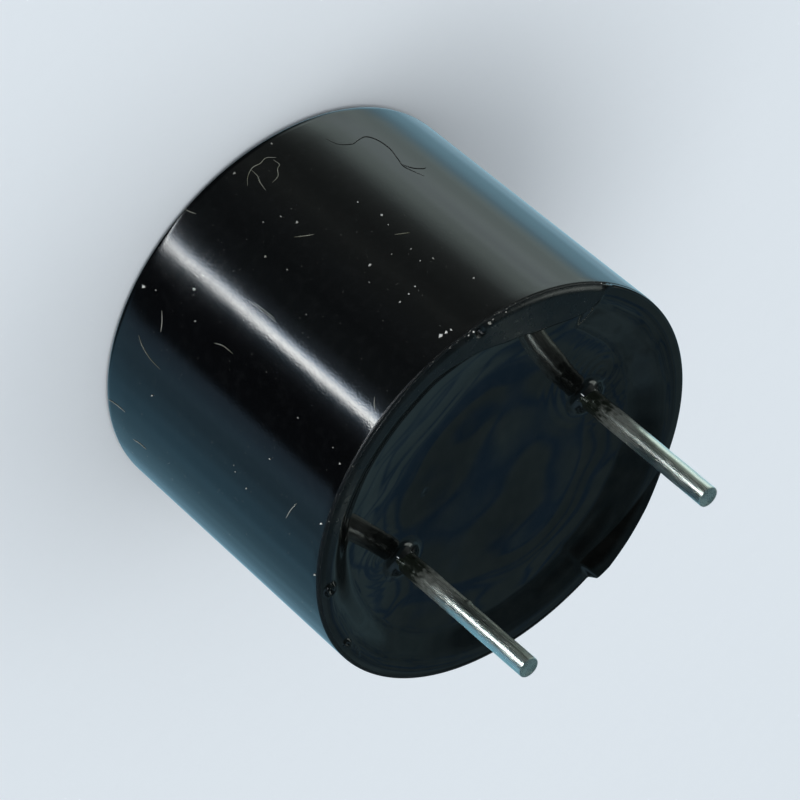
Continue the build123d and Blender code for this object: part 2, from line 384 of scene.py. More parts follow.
def free_surface(x, y):
    """Height of the resin well inside the cup: bowl, waves, ripples, and cones up the pins."""
    climb = np.clip(np.hypot(x, y) - bowl_start, 0, None) / (bowl_end - bowl_start)
    height = resin_z + bowl_rise * climb ** 2
    for direction, length, size in waves:
        along = x * cos(radians(direction)) + y * sin(radians(direction))
        height += size * np.sin(2 * pi * along / length + direction)
    for cx, cy, size, spacing, reach in ripples:
        distance = np.hypot(x - cx, y - cy)
        height += size * np.cos(2 * pi * distance / spacing) * bell(distance, reach)
    for node in ("pin_positive", "pin_negative"):
        low, high = box_mm(node)
        distance = np.hypot(x - (low.x + high.x) / 2, y - (low.y + high.y) / 2)
        climb = np.clip((pin_radius + pin_cone_width - distance) / pin_cone_width, 0, 1)
        height += pin_cone_height * climb ** 3
    return height


def resin_surface(radii, angles):
    """Height of the resin at radii and angles, up to where its film ends."""
    degrees = (np.degrees(angles) + 180) % 360 - 180
    brow = brow_at(angles)
    softness = edge_at("softness", degrees)
    level = rim_z + edge_at("level", degrees)
    end = edge_at("end", degrees)
    x, y = radii * np.cos(angles), radii * np.sin(angles)

    share = np.clip((brow - radii) / edge_at("dip", degrees), 0, 1)
    sharp = 2 * share - share ** 2
    soft = 3 * share ** 2 - 2 * share ** 3
    dipped = softness * soft + (1 - softness) * sharp
    height = level + (free_surface(x, y) - level) * dipped
    spilt = np.clip((end - film_reach) / film_step, 0, 1)
    outer = np.clip((radii - end + film_edge) / film_edge, 0, 1)
    height -= (edge_at("level", degrees) - film_foot) * outer ** film_power * (1 - spilt)
    foot = ridge_at("foot", degrees)
    height += ridge_at("rise", degrees) * np.clip((radii - foot) / (end - foot), 0, 1) ** ridge_power
    for bx, by, size, rise in bubbles:
        height += rise * bell(abs(np.hypot(x - bx, y - by) - size), ring_width * size)
    from_nick = np.hypot(x - rim_nick_x, y - rim_nick_y)
    height -= (rim_nick_depth + nick_in_film) * bell(from_nick, rim_nick_reach)
    for bx, by, reach, rise in beads:
        height += rise * bell(np.hypot(x - bx, y - by), reach)
    return height


def make_resin(material):
    """The whole pour: its free surface, the film and spill on the rim, and the plug below."""
    angles = np.linspace(0, 2 * pi, resin_segments, endpoint=False)
    degrees = (np.degrees(angles) + 180) % 360 - 180
    end = edge_at("end", degrees)
    brow = brow_at(angles)
    spilt = (degrees > spill_start) & (degrees < spill_end)
    bevel = np.where(spilt, spill_bevel, film_bevel)
    level_end = level_rings[-1]
    film_end = end - bevel
    radii = [np.full(resin_segments, r) for r in level_rings]
    radii += [level_end + (brow - level_end) * share for share in slope_rings]
    radii += [brow + (film_end - brow) * share for share in film_rings]
    heights = [resin_surface(r, angles) for r in radii]

    # Over the outer edge and down the wall where it spilt, into the cup where it didn't
    top = heights[-1]
    for turn in edge_turns:
        radii.append(end - bevel * (1 - sin(turn)) + edge_overhang)
        heights.append(top - bevel * (1 - cos(turn)))
    foot = rim_z - rim_round
    radii.append(end)
    heights.append(np.where(spilt, foot, rim_z - hidden_depth))
    radii.append(end - hidden_inset)
    heights.append(np.full(resin_segments, foot - hidden_drops[0]))
    radii.append(np.full(resin_segments, bore_radius + bore_overlap))
    heights.append(np.full(resin_segments, foot - hidden_drops[1]))
    for r in (bore_radius - plug_clearance, 0):
        radii.append(np.full(resin_segments, r))
        heights.append(np.full(resin_segments, resin_floor))

    points = turned_points(np.array(radii), np.array(heights), angles)
    faces = grid_faces(len(radii), resin_segments, closed=False)
    resin = piece("resin_pour", points.reshape(-1, 3), faces, material)
    mark_dull_film(resin.data)
    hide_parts("potting_resin")


def mark_dull_film(mesh):
    """Stores where the resin is a thin dull skin on the rim, for its material."""
    count = len(mesh.vertices)
    places = np.empty(count * 3)
    mesh.vertices.foreach_get("co", places)
    x, y, _ = places.reshape(-1, 3).T / MM
    angles = np.arctan2(y, x)
    degrees = np.degrees(angles)
    first, width = dull_past_brow
    past_brow = np.clip((np.hypot(x, y) - brow_at(angles) - first) / width, 0, 1)
    started = np.clip((degrees - dull_start[0]) / dull_start[1], 0, 1)
    on_rim = started * np.clip((dull_end[0] - degrees) / dull_end[1], 0, 1)
    dull = mesh.attributes.new("dull", "FLOAT", "POINT")
    dull.data.foreach_set("value", (past_brow * on_rim).astype(np.float32))


# Pins

pin_burr = 0.03
shank_rings = 150
lump_spread = 2.2           # reach of a lump as a share of its size, and what is added to it
lump_margin = 0.03

# Profile of the cut end: distance below it and in from the side, as shares of the burr
cut_end = [(0.3, 0.2), (0, 1), (0.5, 2)]

# Unevenness of the wire: size, radians per millimetre up it, waves round it, share of its shift
pin_waves = [(0.0016, 5, 2, 1), (0.0008, 17, -3, 2)]

# The pins, with flux lumps at (height over the resin, angle, size)
Wire = namedtuple("Wire", "name node lumps shift")
wires = [
    Wire("wire_positive", "pin_positive",
         [(0.25, 125, 0.05), (0.5, 60, 0.04), (0.7, 122, 0.025), (1.0, 115, 0.02), (2.55, 42, 0.05)], 2.1),
    Wire("wire_negative", "pin_negative",
         [(0.22, 130, 0.05), (0.45, 100, 0.03), (0.75, 118, 0.02)], 0.4),
]


def make_pin(name, node, material, lumps, shift):
    """Drawn wire, a little uneven, with lumps of flux near its foot."""
    low, high = box_mm(node)
    x0, y0 = (low.x + high.x) / 2, (low.y + high.y) / 2
    root_radius = (high.x - low.x) / 2
    heights = [low.z, wetting_z - pin_taper]
    radii = [root_radius, root_radius]
    heights += list(np.linspace(wetting_z, high.z - pin_burr, shank_rings))
    radii += [pin_radius] * shank_rings

    heights += [high.z - pin_burr * below for below, _ in cut_end]
    radii += [pin_radius - pin_burr * inwards for _, inwards in cut_end]
    heights += [heights[-1], low.z]
    radii += [0, 0]
    heights, radii = np.array(heights), np.array(radii)
    angles = np.linspace(0, 2 * pi, pin_segments, endpoint=False)
    skin = radii[:, None] > 0
    uneven = sum(size * np.sin(heights[:, None] * along + around * angles + share * shift)
                 for size, along, around, share in pin_waves)
    grown = radii[:, None] + uneven * skin
    for height, angle, size in lumps:
        around = (np.degrees(angles) - angle + 180) % 360 - 180
        distance = np.hypot(heights[:, None] - resin_z - height, radians(1) * around * pin_radius)
        grown = grown + size * bell(distance, lump_spread * size + lump_margin) * skin
    points = turned_points(grown, heights[:, None] * np.ones(pin_segments), angles)
    points += (x0, y0, 0)
    faces = grid_faces(len(heights), pin_segments, closed=True)
    pin = piece(name, points.reshape(-1, 3), faces, material, sharp_angle=50)
    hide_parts(node)


# Dust

strand_sides = 6
strand_ends = 0.35          # thickness at a strand's ends, as a share of its middle
crumb_corners = 0.3, 1.5    # range of a crumb's corners from its centre, as shares of its size
dust_lift = 0.008           # of lint and hair off the side
lint_radius = 0.009
hair_radius = 0.008
path_steps = 6              # between two given places of a strand
hair_steps = 10
lip_radius = 0.006
speck_lift = 0.3
speck_scale = 1.25
flake_lift = 0.05

# Fine dust on the side: ranges of angle, height and size
side_dust_count = 260
side_dust_angles = 60, 178
side_dust_heights = 0.3, 8.9
side_dust_sizes = 0.004, 0.009

# Fine dust on the rounding of the rim: ranges of angle, turn and size, and angle and spread of
# the two heaps that it also gathers in
rim_dust_count = 60
rim_dust_angles = 28, 175
rim_dust_turns = 0.6, 1.5
rim_dust_sizes = 0.004, 0.018
rim_dust_heaps = [(76, 9), (80, 5)]


def on_side(angle, height, lift=0.0):
    """Point on the outside of the cup."""
    return at_angle(angle, side_radius(height) + lift, height)


def smooth_path(points, steps):
    """Catmull-Rom curve through points."""
    ends = [points[0] * 2 - points[1]] + list(points) + [points[-1] * 2 - points[-2]]
    path = []
    for a, b, c, d in zip(ends, ends[1:], ends[2:], ends[3:]):
        for step in range(steps):
            t = step / steps
            square, cube = 2 * a - 5 * b + 4 * c - d, 3 * b - a - 3 * c + d
            path.append(0.5 * (2 * b + (c - a) * t + square * t ** 2 + cube * t ** 3))
    return path + [points[-1]]


def strand(path, radius):
    """Points and faces of a thin round strand that tapers at both ends."""
    points = []
    for index, point in enumerate(path):
        ahead = path[min(index + 1, len(path) - 1)] - path[max(index - 1, 0)]
        across = ahead.cross(Vector((point.x, point.y, 0))).normalized()
        outwards = across.cross(ahead).normalized()
        from_end = min(index, len(path) - 1 - index) / len(path)
        taper = min(1, strand_ends + (1 - strand_ends) * 4 * from_end)
        for side in range(strand_sides):
            turn = 2 * pi * side / strand_sides
            points.append(point + (across * cos(turn) + outwards * sin(turn)) * radius * taper)
    return points, grid_faces(len(path), strand_sides, closed=False)


def crumb(centre, size):
    """Points and faces of an irregular speck: an octahedron with its corners moved about."""
    corners = [(1, 0, 0), (-1, 0, 0), (0, 1, 0), (0, -1, 0), (0, 0, 1), (0, 0, -1)]
    points = [centre + Vector(c) * size * random.uniform(*crumb_corners) for c in corners]
    faces = [(0, 2, 4), (2, 1, 4), (1, 3, 4), (3, 0, 4), (2, 0, 5), (1, 2, 5), (3, 1, 5), (0, 3, 5)]
    return points, faces


def joined(parts):
    """Several point and face lists as one."""
    points, faces = [], []
    for some_points, some_faces in parts:
        start = len(points)
        points += [tuple(p) for p in some_points]
        faces += [tuple(start + k for k in face) for face in some_faces]
    return points, faces


# Lint on the side, placed as in the photo: (angle, height) along each
lint = [
    [(124.5, 3.4), (123.5, 3.7), (123.4, 4.1)],
    [(91.5, 3.3), (89.5, 3.5), (87.8, 3.65)],
    [(149.0, 7.75), (146.0, 7.85), (143.0, 8.0)],
    [(140.2, 2.05), (139.8, 1.6), (138.5, 1.2), (136.8, 0.95)],
    [(131.8, 1.62), (129.5, 1.52), (127.2, 1.35)],
    [(89.0, 1.02), (87.2, 0.80), (84.6, 0.66), (82.3, 0.70), (80.2, 0.66), (78.3, 0.84)],
    [(86.9, 1.52), (86.3, 1.22), (85.4, 0.98), (85.2, 0.70)],
    [(84.2, 1.46), (82.0, 1.40), (80.4, 1.18), (79.2, 1.10), (79.3, 0.86)],
    [(74.0, 5.2), (72.4, 5.3), (70.8, 5.4)],
    [(161.8, 0.15), (161.0, 0.55), (160.8, 0.95)],
    [(168.8, 1.2), (168.0, 1.5), (167.9, 1.8)],
    [(103.8, 0.1), (103.4, 0.3), (102.8, 0.5)],
    [(111.0, 8.9), (110.0, 8.75), (108.6, 8.62)],
]

# Dark hair and its branch, in the same way
hair = [(64.3, 1.1), (63.0, 1.45), (60.0, 1.62), (57.5, 1.55), (54.5, 1.5), (52.6, 1.75), (52.2, 2.2),
        (53.5, 2.7), (54.4, 3.05), (53.2, 3.4), (52.2, 3.62)]
hair_branch = [(54.3, 2.95), (52.5, 3.2), (50.0, 3.3), (48.8, 3.28)]

# Scratch on the side: its two raised lips
scratch = [
    [(110.7, 3.55), (110.5, 4.1), (110.3, 4.7)],
    [(110.2, 3.75), (110.0, 4.2), (109.9, 4.6)],
]

# Specks on the side: (angle, height, size)
specks = [
    (87.0, 8.78, 0.05), (85.4, 8.8, 0.05), (84.2, 8.82, 0.03), (87.0, 7.1, 0.025), (84.0, 7.08, 0.025),
    (81.5, 7.0, 0.025), (88.2, 6.0, 0.02), (84.6, 5.58, 0.04), (74.2, 5.9, 0.025), (72.4, 6.55, 0.03),
    (75.2, 6.4, 0.02), (73.0, 4.8, 0.02), (72.0, 4.4, 0.025), (73.5, 3.6, 0.025), (78.8, 5.7, 0.02),
    (88.0, 3.0, 0.04), (89.6, 2.5, 0.025), (99.8, 3.1, 0.03), (98.8, 3.9, 0.02), (126.5, 8.85, 0.03),
    (124.6, 8.4, 0.02), (124.8, 6.95, 0.02), (138.4, 6.65, 0.025), (148.4, 2.0, 0.025), (123.4, 2.5, 0.02),
    (125.4, 0.45, 0.045), (117.4, 1.95, 0.045), (124.2, 0.85, 0.02), (88.6, 0.42, 0.035), (76.0, 0.35, 0.03),
    (150.6, 6.1, 0.02), (148.8, 5.6, 0.03), (147.4, 5.5, 0.02), (69.4, 7.8, 0.025), (104.2, 5.3, 0.015),
    (93.6, 2.25, 0.02), (142.6, 9.0, 0.03), (157.6, 9.1, 0.03),
]

# Flakes on the rim: (angle, radius, size)
rim_flakes = [
    (75.8, 5.98, 0.06), (74.6, 6.02, 0.03), (80.6, 6.03, 0.035), (82.2, 6.04, 0.025), (70.5, 6.02, 0.03),
]


def strands(name, lines, lift, steps, radius, material):
    """One piece of the strands that follow lines of (angle, height) on the side."""
    paths = [smooth_path([on_side(angle, height, lift) for angle, height in line], steps) for line in lines]
    points, faces = joined([strand(path, radius) for path in paths])
    piece(name, points, faces, material)


def rim_crumb():
    """Crumb somewhere on the rounding of the rim."""
    angle = random.choice([random.uniform(*rim_dust_angles)]
                          + [random.normal(*heap) for heap in rim_dust_heaps])
    turn = random.uniform(*rim_dust_turns)
    radius = rim_radius - rim_round * (1 - cos(turn))
    height = rim_z - rim_round * (1 - sin(turn))
    return crumb(at_angle(angle, radius, height), random.uniform(*rim_dust_sizes))


def make_dust(materials):
    """Lint, a hair, specks, flakes and fine dust, and the lips of the scratch."""
    strands("dust_fibres", lint, dust_lift, path_steps, lint_radius, materials["lint"])
    strands("dust_hair", (hair, hair_branch), dust_lift, hair_steps, hair_radius, materials["hair"])
    crumbs = []
    for angle, height, size in specks:
        crumbs.append(crumb(on_side(angle, height, speck_lift * size), speck_scale * size))
    for _ in range(side_dust_count):
        place = on_side(random.uniform(*side_dust_angles), random.uniform(*side_dust_heights))
        crumbs.append(crumb(place, random.uniform(*side_dust_sizes)))
    for angle, radius, size in rim_flakes:
        crumbs.append(crumb(at_angle(angle, radius, rim_z + flake_lift), size))
    crumbs += [rim_crumb() for _ in range(rim_dust_count)]
    points, faces = joined(crumbs)
    piece("dust_specks", points, faces, materials["speck"])
    strands("scratch_lips", scratch, 0, path_steps, lip_radius, materials["speck"])


# Node trees

def set_inputs(tree, node, values):
    """Links each value that is a socket, and sets any other on its input."""
    for key, value in values.items():
        if isinstance(value, bpy.types.NodeSocket):
            tree.links.new(value, node.inputs[key])
        else:
            node.inputs[key].default_value = value


def add_node(tree, kind, values=None, **settings):
    """Adds a node with its inputs and settings."""
    made = tree.nodes.new(kind)
    for key, value in settings.items():
        setattr(made, key, value)
    set_inputs(tree, made, values or {})
    return made


def new_material(name):
    """Material with an empty Principled shader: returns it, its tree and the shader."""
    material = bpy.data.materials.new(name)
    material.use_nodes = True
    return material, material.node_tree, material.node_tree.nodes["Principled BSDF"]


def object_mm(tree, stretch=(1, 1, 1)):
    """Object coordinates in millimetres, divided by stretch along each axis."""
    place = add_node(tree, "ShaderNodeTexCoord").outputs["Object"]
    scale = tuple(1 / MM / s for s in stretch)
    return add_node(tree, "ShaderNodeMapping", {"Vector": place, "Scale": scale}).outputs["Vector"]


def noise(tree, size, stretch=(1, 1, 1), detail=3.0, rough=0.55, distortion=0.0):
    """Noise with features of about a size in millimetres, as a value round 0.5."""
    texture = add_node(tree, "ShaderNodeTexNoise", {
        "Vector": object_mm(tree, stretch), "Scale": 1 / size, "Detail": detail,
        "Roughness": rough, "Distortion": distortion,
    })
    return texture.outputs["Fac"]


def mapped(tree, value, low_in, high_in, low=0.0, high=1.0):
    """A value taken from one range to another and held there."""
    return add_node(tree, "ShaderNodeMapRange", {
        "Value": value, "From Min": low_in, "From Max": high_in, "To Min": low, "To Max": high,
    }).outputs["Result"]


def maths(tree, operation, first, second=0.0, third=0.0):
    """Result of one operation on numbers."""
    values = {0: first, 1: second, 2: third}
    return add_node(tree, "ShaderNodeMath", values, operation=operation).outputs[0]


def vector_maths(tree, operation, first, second):
    """Outputs of one operation on vectors or colours."""
    return add_node(tree, "ShaderNodeVectorMath", {0: first, 1: second}, operation=operation).outputs


def scaled(tree, colour, factor):
    """Colour times a factor."""
    values = {0: colour, "Scale": factor}
    return add_node(tree, "ShaderNodeVectorMath", values, operation="SCALE").outputs[0]


def mixed(tree, factor, first, second):
    """Colour between two, by a factor."""
    node = add_node(tree, "ShaderNodeMix", {"Factor": factor}, data_type="RGBA")
    for key, value in (("A", first), ("B", second)):
        socket = [s for s in node.inputs if s.name == key and s.type == "RGBA"][0]
        if isinstance(value, bpy.types.NodeSocket):
            tree.links.new(value, socket)
        else:
            socket.default_value = (*value, 1)
    return [s for s in node.outputs if s.type == "RGBA"][0]


def bumped(tree, height, depth, normal=None):
    """Normal from a height value, for bumps of a depth in millimetres."""
    values = {"Height": height, "Distance": depth * MM, "Strength": 1.0}
    if normal:
        values["Normal"] = normal
    return add_node(tree, "ShaderNodeBump", values).outputs["Normal"]


def height_of(tree):
    """Height over the floor in millimetres."""
    return add_node(tree, "ShaderNodeSeparateXYZ", {"Vector": object_mm(tree)}).outputs["Z"]


# Materials of what shows: colours in pairs between which they vary, and roughness from 0 to 1

cup_colours = (0.0018, 0.0019, 0.0022), (0.0045, 0.0047, 0.0050)
cup_rough = 0.115, 0.045        # at the head, and from clear_height up
clear_height = 5.0
lines_rough = 0.05, 0.01        # added by the turning lines, over lines_heights
lines_heights = 2.0, 6.0
smear_rough = 0.04
scuff_rough = 0.40              # on the rim
pebble_size = 0.045
pebble_depth = 0.0014
pebble_gain = 1.2               # how much deeper they are at the head
scuff_size = 0.05
scuff_depth = 0.004
swell_size = 1.1
swell_depth = 0.0022

resin_colours = (0.0012, 0.0014, 0.0014), (0.0030, 0.0034, 0.0032)
wet_rough = 0.02, 0.07
skin_rough = 0.20, 0.34         # added where it is a dull skin
resin_fine_depth = 0.00004
resin_slow_depth = 0.0020
skin_depth = 0.004

tin_colours = (0.58, 0.62, 0.55), (0.90, 0.94, 0.86)
# Painted reflection of the dark resin: the tin is painted near black and less metallic towards the foot
painted_reflection_colour = (0.016, 0.021, 0.015)
painted_reflection_height = 2.4               # it fades out over this much of the pin
painted_reflection_spread = 0.22
painted_reflection_metallic = 0.4
tin_rough = 0.24, 0.42
drawn_depth = 0.0022
crust_depth = 0.006


def cup_plastic():
    """Black moulded plastic, glossier towards the rim, with faint turning lines near the head."""
    material, tree, shader = new_material("cup_plastic")
    up = height_of(tree)
    rings = mapped(tree, noise(tree, 0.05, stretch=(60, 60, 1), detail=4), 0.45, 0.62)
    turned_lines = maths(tree, "MULTIPLY", mapped(tree, up, *lines_heights, *lines_rough), rings)
    smoothness = mapped(tree, up, 0, clear_height, *cup_rough)
    smeared = mapped(tree, noise(tree, 0.9, detail=4), 0.45, 0.75, 0, smear_rough)
    scuffed = mapped(tree, up, rim_z - rim_round, rim_z - rim_round * 0.5, 0, scuff_rough)
    side = maths(tree, "ADD", smoothness, turned_lines)
    marks = maths(tree, "ADD", smeared, scuffed)
    rough = maths(tree, "ADD", side, marks)
    dusty = mapped(tree, noise(tree, 0.25, detail=6), 0.5, 0.8)
    tone = mixed(tree, dusty, *cup_colours)

    pebbles = noise(tree, pebble_size, detail=2, rough=0.6)
    pebbles = maths(tree, "MULTIPLY", pebbles, mapped(tree, up, 0, clear_height, pebble_gain, 1))
    fine = bumped(tree, pebbles, pebble_depth)
    grain = maths(tree, "MULTIPLY", scuffed, 1 / scuff_rough)
    grain = maths(tree, "MULTIPLY", noise(tree, scuff_size, detail=4), grain)
    grainy = bumped(tree, grain, scuff_depth, fine)
    swell = bumped(tree, noise(tree, swell_size, detail=2), swell_depth, grainy)
    set_inputs(tree, shader, {"Roughness": rough, "Base Color": tone, "Normal": swell, "IOR": 1.5})
    return material


def black_resin():
    """Poured black resin, wet-looking, with a dull skin where it is a thin film on the rim."""
    material, tree, shader = new_material("resin")
    dull = add_node(tree, "ShaderNodeAttribute", attribute_name="dull").outputs["Fac"]
    wet = mapped(tree, noise(tree, 0.8, detail=5, distortion=1.0), 0.45, 0.8, *wet_rough)
    skin = mapped(tree, noise(tree, 0.3, detail=4), 0.3, 0.7, *skin_rough)
    rough = maths(tree, "ADD", wet, maths(tree, "MULTIPLY", dull, skin))
    tone = mixed(tree, mapped(tree, noise(tree, 0.5, detail=4), 0.4, 0.7), *resin_colours)
    fine = bumped(tree, noise(tree, 0.12, detail=2), resin_fine_depth)
    slow = bumped(tree, noise(tree, 1.4, detail=0, distortion=0.8), resin_slow_depth, fine)
    skin_grain = maths(tree, "MULTIPLY", noise(tree, 0.06, detail=4), dull)
    grainy = bumped(tree, skin_grain, skin_depth, slow)
    set_inputs(tree, shader, {"Roughness": rough, "Base Color": tone, "Normal": grainy, "IOR": 1.52})
    return material


def tinned_wire():
    """Drawn tin, bright at the cut end, with a painted reflection of the dark resin that darkens it towards
    the foot.
    """
    material, tree, shader = new_material("tinned_wire")
    drawn = noise(tree, 0.022, stretch=(1, 1, 50), detail=3)
    blotches = noise(tree, 0.10, stretch=(1, 1, 2), detail=5)
    along = mapped(tree, height_of(tree), wetting_z, wetting_z + painted_reflection_height, -0.25, 1)
    uneven = mapped(tree, blotches, 0.3, 0.7, -painted_reflection_spread, painted_reflection_spread)
    # Share of the tin left clear of the painted reflection of the resin, rising away from the foot
    clear_of_painted_reflection = mapped(tree, maths(tree, "ADD", along, uneven), 0, 0.9)
    tin = mixed(tree, drawn, *tin_colours)
    lines = bumped(tree, drawn, drawn_depth)
    crust = maths(tree, "MULTIPLY", blotches, mapped(tree, clear_of_painted_reflection, 0, 1, 1, 0.2))
    set_inputs(tree, shader, {
        "Base Color": mixed(tree, clear_of_painted_reflection, painted_reflection_colour, tin),
        "Metallic": mapped(tree, clear_of_painted_reflection, 0, 1, painted_reflection_metallic, 1),
        "Roughness": mapped(tree, drawn, 0.35, 0.7, *tin_rough),
        "Normal": bumped(tree, crust, crust_depth, lines),
    })
    return material


def dust_material(name, low, high, grain=0.2):
    """Matt dust between two colours."""
    material, tree, shader = new_material(name)
    patches = mapped(tree, noise(tree, grain), 0.35, 0.65)
    set_inputs(tree, shader, {"Base Color": mixed(tree, patches, low, high), "Roughness": 0.8})
    return material


# Materials of what is inside: colours between which it varies, metal or not, roughness,
# size of the grain, depth of the bumps, and how the grain is stretched along each axis
Finish = namedtuple("Finish", "low high metallic rough grain depth stretch", defaults=[(1, 1, 1)])
finishes = {
    "spring_steel": Finish(
        (0.50, 0.49, 0.47), (0.66, 0.65, 0.62), 1, (0.22, 0.36), 0.05, 0.0006, (30, 1, 1)),
    "soft_iron": Finish((0.46, 0.46, 0.46), (0.60, 0.60, 0.59), 1, (0.28, 0.42), 0.2, 0.002),
    "magnet": Finish((0.035, 0.033, 0.033), (0.065, 0.060, 0.058), 0, (0.55, 0.75), 0.06, 0.006),
    "spacer_plastic": Finish((0.66, 0.64, 0.58), (0.76, 0.74, 0.69), 0, (0.38, 0.52), 0.4, 0.002),
    "bobbin_plastic": Finish((0.48, 0.43, 0.33), (0.58, 0.53, 0.42), 0, (0.40, 0.55), 0.3, 0.002),
    "enamelled_copper": Finish(
        (0.50, 0.16, 0.05), (0.75, 0.30, 0.12), 1, (0.22, 0.34), 0.05, 0.008, (20, 20, 1)),
    "insulating_paper": Finish(
        (0.42, 0.35, 0.24), (0.54, 0.46, 0.33), 0, (0.75, 0.90), 0.08, 0.006, (3, 1, 1)),
    "board_laminate": Finish(
        (0.36, 0.27, 0.11), (0.46, 0.36, 0.16), 0, (0.40, 0.60), 0.12, 0.002, (6, 1, 1)),
    "package_plastic": Finish(
        (0.014, 0.014, 0.015), (0.026, 0.026, 0.027), 0, (0.45, 0.60), 0.05, 0.003),
    "diode_plastic": Finish(
        (0.020, 0.020, 0.021), (0.034, 0.034, 0.035), 0, (0.40, 0.55), 0.05, 0.003),
    "component_leads": Finish((0.62, 0.62, 0.62), (0.74, 0.74, 0.73), 1, (0.25, 0.40), 0.1, 0.001),
    "component_ceramic": Finish((0.78, 0.78, 0.75), (0.88, 0.88, 0.85), 0, (0.45, 0.60), 0.08, 0.002),
    "solder": Finish((0.58, 0.58, 0.58), (0.70, 0.70, 0.69), 1, (0.18, 0.34), 0.15, 0.004),
}


def inner_material(name, finish):
    """Plain grained material from its row."""
    material, tree, shader = new_material(name)
    grain = noise(tree, finish.grain, stretch=finish.stretch, detail=4)
    set_inputs(tree, shader, {
        "Base Color": mixed(tree, grain, finish.low, finish.high),
        "Roughness": mapped(tree, grain, 0.3, 0.7, *finish.rough),
        "Normal": bumped(tree, grain, finish.depth),
        "Metallic": finish.metallic,
    })
    return material


def all_materials():
    """Every material by name."""
    made = {
        "cup_plastic": cup_plastic(),
        "resin": black_resin(),
        "tinned_wire": tinned_wire(),
        "lint": dust_material("lint", (0.12, 0.12, 0.07), (0.46, 0.46, 0.42), 1.6),
        "hair": dust_material("hair", (0.010, 0.009, 0.008), (0.020, 0.018, 0.016)),
        "speck": dust_material("speck", (0.28, 0.28, 0.25), (0.72, 0.72, 0.68), 0.8),
    }
    made.update({name: inner_material(name, finish) for name, finish in finishes.items()})
    return made


# Studio

floor_colour = (0.78, 0.83, 0.87)
floor_half_side = 3.0       # in metres
floor_patches = 0.985       # darkest patches of it, as a share of its colour
soft_light = 0.62
window_colour = (0.84, 0.88, 0.92)

# Lamps: distance and size in metres, power in watts
Lamp = namedtuple("Lamp", "name azimuth elevation distance size power")
lamps = [
    Lamp("key", 150, 60, 0.5, 0.35, 1.1),
    Lamp("fill", -30, 50, 0.6, 0.5, 0.5),
]

# What the gloss reflects: a dim room with soft cards and a strip light, by azimuth.
# Below the horizon, seen in the cup's side
low_ring = [
    (-180, (0.205, 0.385, 0.52)), (-150, (0.17, 0.38, 0.53)), (-120, (0.205, 0.42, 0.555)),
    (-95, (0.215, 0.405, 0.53)), (-67, (0.33, 0.58, 0.70)), (-57, (0.42, 0.66, 0.80)),
    (-46, (0.38, 0.66, 0.82)), (-36, (0.39, 0.71, 0.88)), (-26, (0.36, 0.61, 0.75)),
    (-17, (0.69, 0.86, 0.84)), (-6, (0.78, 0.94, 0.92)), (4, (1.00, 1.18, 1.20)),
    (14, (1.18, 1.42, 1.36)), (24, (0.53, 0.63, 0.61)), (32, (0.22, 0.25, 0.24)),
    (40, (0.12, 0.137, 0.13)), (60, (0.14, 0.157, 0.148)), (76, (0.09, 0.105, 0.107)),
    (90, (0.05, 0.06, 0.062)), (108, (0.07, 0.09, 0.095)), (132, (0.06, 0.07, 0.08)),
    (140, (0.017, 0.020, 0.024)), (162, (0.015, 0.020, 0.025)), (165.5, (0.165, 0.26, 0.36)),
    (174, (0.20, 0.36, 0.50)), (180, (0.205, 0.385, 0.52)),
]
# Above the horizon, seen in the resin, the rim and the bevels
high_ring = [
    (-180, (0.22, 0.36, 0.46)), (-150, (0.24, 0.38, 0.48)), (-115, (0.145, 0.24, 0.30)),
    (-98, (0.115, 0.18, 0.205)), (-75, (0.104, 0.160, 0.175)), (-50, (0.11, 0.18, 0.20)),
    (-32, (0.18, 0.25, 0.27)), (-14, (0.30, 0.35, 0.35)), (22, (0.32, 0.36, 0.35)),
    (45, (0.14, 0.16, 0.16)), (90, (0.05, 0.06, 0.065)), (150, (0.08, 0.10, 0.12)),
    (180, (0.22, 0.36, 0.46)),
]
low_ends = -25, -14         # elevations between which one ring gives way to the other
horizon_dims = -16, -4      # a dark horizon comes in here, and clears again here
horizon_clears = 10, 22
horizon_share = 0.15
upper_room = (0.050, 0.085, 0.100)
upper_starts = 42, 50
ceiling = (0.012, 0.015, 0.015)
ceiling_starts = 66, 77
underside = (0.010, 0.013, 0.015)
underside_ends = -58, -47
clouds_scale = 9.0
clouds = 0.80, 1.20

# Soft lit patches of the room: azimuth, half widths between which it comes in, and elevations
# between which it rises and then fades
Patch = namedtuple("Patch", "azimuth reach rise fade colour")
back_glow = Patch(-62, (28, 12), (13, 21), (27, 34), (0.05, 0.095, 0.115))
side_card = Patch(-15, (18, 9), (22, 28), (53, 60), (1.9, 2.1, 1.98))

# Thin blue veins in the back glow
vein_colour = (0.034, 0.096, 0.185)
vein_centre = -75, 35       # azimuth and elevation that the level resin mirrors
vein_spread = 18, 8         # degrees off the centre between which the veins come in
vein_scale = 20.0
vein_width = 0.015, 0.10
vein_strength = 0.8

# Strip light: its core and its haze
Strip = namedtuple("Strip", "azimuth half_width strength colour")
strips = [
    Strip(122.5, 2.3, 18.5, (1.0, 0.99, 0.92)),
    Strip(119.8, 2.0, 6.5, (0.78, 0.92, 1.10)),
    Strip(122.0, 6.0, 2.2, (0.66, 0.84, 1.06)),
    Strip(121.0, 13.0, 0.34, (0.62, 0.82, 1.06)),
]
strips_core = 0.3           # fully lit share of the half width
strips_end = 46, 58         # elevations between which they end


def ring_colour(tree, turn, stops):
    """Colour round the room, between its stops."""
    ramp = add_node(tree, "ShaderNodeValToRGB", {"Fac": turn})
    elements = ramp.color_ramp.elements
    while len(elements) > 1:
        elements.remove(elements[-1])
    for index, (azimuth, colour) in enumerate(stops):
        place = (azimuth + 180) / 360
        element = elements[0] if index == 0 else elements.new(place)
        element.position = place
        element.color = (*colour, 1)
    return ramp.outputs["Color"]


def rising(tree, up, elevations, low=0.0, high=1.0):
    """Goes from low to high between two elevations, given the height of the direction."""
    start, end = [sin(radians(e)) for e in elevations]
    return mapped(tree, up, start, end, low, high)


